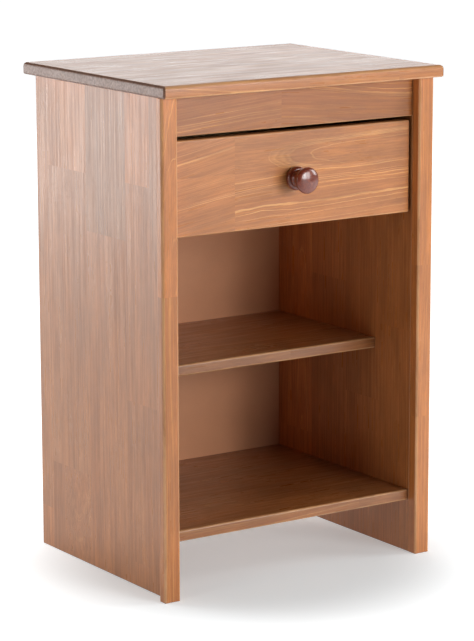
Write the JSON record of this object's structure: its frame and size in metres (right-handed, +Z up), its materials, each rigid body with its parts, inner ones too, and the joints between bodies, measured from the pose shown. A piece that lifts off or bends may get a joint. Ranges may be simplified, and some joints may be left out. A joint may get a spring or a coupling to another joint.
{
  "type": "nightstand",
  "caption": "Pine bedside nightstand with an overhanging slab top, front stiles, an inset drawer with a turned knob on roller slides, and open shelves below.",
  "frame": {"origin": "on the floor, under the middle of the object's overall box, knob included", "axes": "+Z up, front and drawer opening towards -Y, +X to the right seen from the front"},
  "size_m": [0.432, 0.3514, 0.66],
  "materials": {
    "stained_pine": "honey-brown stained and lacquered, satin gloss",
    "raw_pine": "unstained, sealed",
    "knob_wood": "dark cherry lacquer, glossy",
    "hardboard": "smooth brown hardboard",
    "dowel_wood": "raw beech",
    "coated_steel": "epoxy coated, off-white",
    "nylon": "white nylon",
    "plated_steel": "zinc plated"
  },
  "bodies": {
    "cabinet": {"top_slab": "stained_pine", "side_panel_left": "stained_pine", "side_panel_right": "stained_pine", "front_stile_left": "stained_pine", "front_stile_right": "stained_pine", "front_rail": "stained_pine", "back_rail": "stained_pine", "middle_shelf": "stained_pine", "bottom_shelf": "stained_pine", "back_panel": "hardboard", "cabinet_slide_left": "coated_steel", "cabinet_slide_right": "coated_steel", "cabinet_roller_pin_left": "plated_steel", "cabinet_roller_pin_right": "plated_steel", "back_screw": "plated_steel", "cabinet_slide_screw_1_left": "plated_steel", "cabinet_slide_screw_1_right": "plated_steel", "cabinet_slide_screw_2_left": "plated_steel", "cabinet_slide_screw_2_right": "plated_steel", "middle_shelf_dowel_front_left": "dowel_wood", "middle_shelf_dowel_front_right": "dowel_wood", "middle_shelf_dowel_back_left": "dowel_wood", "middle_shelf_dowel_back_right": "dowel_wood", "bottom_shelf_dowel_front_left": "dowel_wood", "bottom_shelf_dowel_front_right": "dowel_wood", "bottom_shelf_dowel_back_left": "dowel_wood", "bottom_shelf_dowel_back_right": "dowel_wood", "front_rail_dowel_lower_left": "dowel_wood", "front_rail_dowel_lower_right": "dowel_wood", "front_rail_dowel_upper_left": "dowel_wood", "front_rail_dowel_upper_right": "dowel_wood", "back_rail_dowel_left": "dowel_wood", "back_rail_dowel_right": "dowel_wood", "slab_dowel_front_left": "dowel_wood", "slab_dowel_front_right": "dowel_wood", "slab_dowel_back_left": "dowel_wood", "slab_dowel_back_right": "dowel_wood"},
    "drawer": {"drawer_front": "stained_pine", "drawer_side_left": "raw_pine", "drawer_side_right": "raw_pine", "drawer_back": "raw_pine", "drawer_bottom": "raw_pine", "drawer_knob": "knob_wood", "knob_screw": "plated_steel", "drawer_dowel_lower_left": "dowel_wood", "drawer_dowel_lower_right": "dowel_wood", "drawer_dowel_upper_left": "dowel_wood", "drawer_dowel_upper_right": "dowel_wood", "drawer_slide_left": "coated_steel", "drawer_roller_pin_left": "plated_steel", "drawer_slide_screw_1_left": "plated_steel", "drawer_slide_screw_2_left": "plated_steel", "drawer_slide_right": "coated_steel", "drawer_roller_pin_right": "plated_steel", "drawer_slide_screw_1_right": "plated_steel", "drawer_slide_screw_2_right": "plated_steel"},
    "front_roller_left": {"cabinet_roller_left": "nylon"},
    "rear_roller_left": {"drawer_roller_left": "nylon"},
    "front_roller_right": {"cabinet_roller_right": "nylon"},
    "rear_roller_right": {"drawer_roller_right": "nylon"}
  },
  "joints": [
    {"name": "drawer_slide", "type": "slide", "parent": "cabinet", "child": "drawer", "axis": [0, -1, 0], "range_m": [0, 0.19]},
    {"name": "front_roller_left_spin", "type": "hinge", "parent": "cabinet", "child": "front_roller_left", "pos_m": [-0.18095, -0.11435, 0.485], "axis": [1, 0, 0], "range_deg": [0, 1560]},
    {"name": "rear_roller_left_spin", "type": "hinge", "parent": "drawer", "child": "rear_roller_left", "pos_m": [-0.18035, 0.11595, 0.4823], "axis": [1, 0, 0], "range_deg": [0, 1560]},
    {"name": "front_roller_right_spin", "type": "hinge", "parent": "cabinet", "child": "front_roller_right", "pos_m": [0.18095, -0.11435, 0.485], "axis": [1, 0, 0], "range_deg": [0, 1560]},
    {"name": "rear_roller_right_spin", "type": "hinge", "parent": "drawer", "child": "rear_roller_right", "pos_m": [0.18035, 0.11595, 0.4823], "axis": [1, 0, 0], "range_deg": [0, 1560]}
  ],
  "couplings": [
    {"joint": "front_roller_left_spin", "follows": "drawer_slide", "rad_per_m": 142.86},
    {"joint": "rear_roller_left_spin", "follows": "drawer_slide", "rad_per_m": 142.86},
    {"joint": "front_roller_right_spin", "follows": "drawer_slide", "rad_per_m": 142.86},
    {"joint": "rear_roller_right_spin", "follows": "drawer_slide", "rad_per_m": 142.86}
  ]
}
